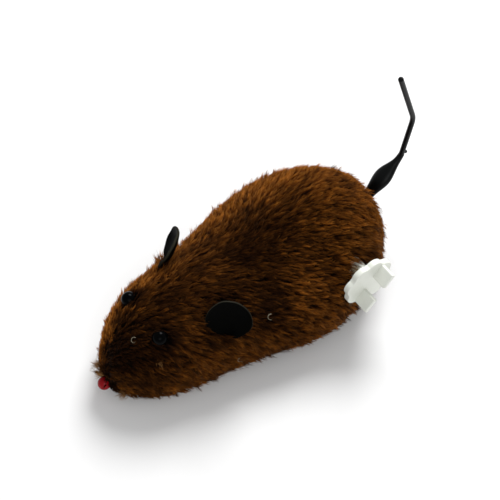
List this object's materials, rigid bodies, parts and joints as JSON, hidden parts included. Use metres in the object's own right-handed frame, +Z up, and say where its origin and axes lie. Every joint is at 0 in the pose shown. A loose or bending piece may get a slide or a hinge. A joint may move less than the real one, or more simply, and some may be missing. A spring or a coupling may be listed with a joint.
{
  "type": "clockwork plush mouse",
  "caption": "Small plush mouse with a spring motor, driven wheels, a winding key on its flank and a flexible tail.",
  "frame": {"origin": "centre of the footprint on the floor that the wheels stand on", "axes": "+Z up, +Y from the nose to the tail, +X towards the winding key"},
  "size_m": [0.0548, 0.1098, 0.0668],
  "materials": {
    "plush": "short pile plush, dark roots and orange-brown tips",
    "ear_felt": "thin black leathercloth",
    "eye_bead": "polished black bead",
    "nose_bead": "polished red bead",
    "clear_washer": "moulded",
    "shell_plastic": "moulded",
    "base_plastic": "moulded, fine spark texture",
    "screw_steel": "zinc plated",
    "tail_rubber": "smooth moulded rubber",
    "roller_plastic": "moulded",
    "pin_steel": "drawn wire",
    "wheel_plastic": "moulded",
    "tyre_rubber": "grooved rubber",
    "motor_steel": "pressed sheet",
    "spring_steel": "blued",
    "gear_brass": "stamped",
    "key_plastic": "moulded white plastic"
  },
  "bodies": {
    "chassis": {"plush_cover": "plush", "ear_left": "ear_felt", "ear_right": "ear_felt", "eye_left": "eye_bead", "eye_right": "eye_bead", "nose_bead": "nose_bead", "eye_washers": "clear_washer", "nose_washer": "clear_washer", "shell_left": "shell_plastic", "shell_right": "shell_plastic", "chassis_base": "base_plastic", "base_screws": "screw_steel", "tail_bush": "base_plastic", "roller_pin": "pin_steel", "motor_plate_left": "motor_steel", "motor_plate_right": "motor_steel", "motor_pillars": "pin_steel", "motor_screws": "screw_steel", "mainspring": "spring_steel"},
    "roller": {"front_roller": "roller_plastic"},
    "drive": {"drive_axle": "pin_steel", "drive_pinion": "gear_brass", "drive_wheel_left": "wheel_plastic", "drive_wheel_right": "wheel_plastic", "tyre_left": "tyre_rubber", "tyre_right": "tyre_rubber"},
    "intermediate": {"intermediate_arbor": "pin_steel", "intermediate_pinion": "gear_brass", "intermediate_wheel": "gear_brass"},
    "barrel": {"main_wheel": "gear_brass", "click": "spring_steel", "click_rivet": "gear_brass"},
    "arbor": {"winding_arbor": "pin_steel", "ratchet_wheel": "gear_brass", "arbor_clip": "spring_steel", "winding_key": "key_plastic"},
    "tail": {"tail": "tail_rubber"}
  },
  "joints": [
    {"name": "drive_axle_turn", "type": "hinge", "parent": "chassis", "child": "drive", "pos_m": [-0.00264, 0.0155, 0.0075], "axis": [1, 0, 0], "continuous": true},
    {"name": "intermediate_turn", "type": "hinge", "parent": "chassis", "child": "intermediate", "pos_m": [-0.00264, 0.01428, 0.01591], "axis": [1, 0, 0], "continuous": true},
    {"name": "main_wheel_turn", "type": "hinge", "parent": "chassis", "child": "barrel", "pos_m": [-0.00264, 0.0206, 0.0216], "axis": [1, 0, 0], "continuous": true},
    {"name": "key_wind", "type": "hinge", "parent": "barrel", "child": "arbor", "pos_m": [-0.00264, 0.0206, 0.0216], "axis": [-1, 0, 0], "range_deg": [0, 2160]},
    {"name": "roller_turn", "type": "hinge", "parent": "chassis", "child": "roller", "pos_m": [-0.00264, -0.0334, 0.004], "axis": [1, 0, 0], "continuous": true},
    {"name": "tail_flex", "type": "hinge", "parent": "chassis", "child": "tail", "pos_m": [-0.00264, 0.0368, 0.0181], "axis": [1, 0, 0], "range_deg": [-15, 15], "stiffness_Nm_per_rad": 0.01}
  ],
  "couplings": [
    {"joint": "intermediate_turn", "follows": "drive_axle_turn", "ratio": -0.41667},
    {"joint": "main_wheel_turn", "follows": "drive_axle_turn", "ratio": 0.17361}
  ]
}
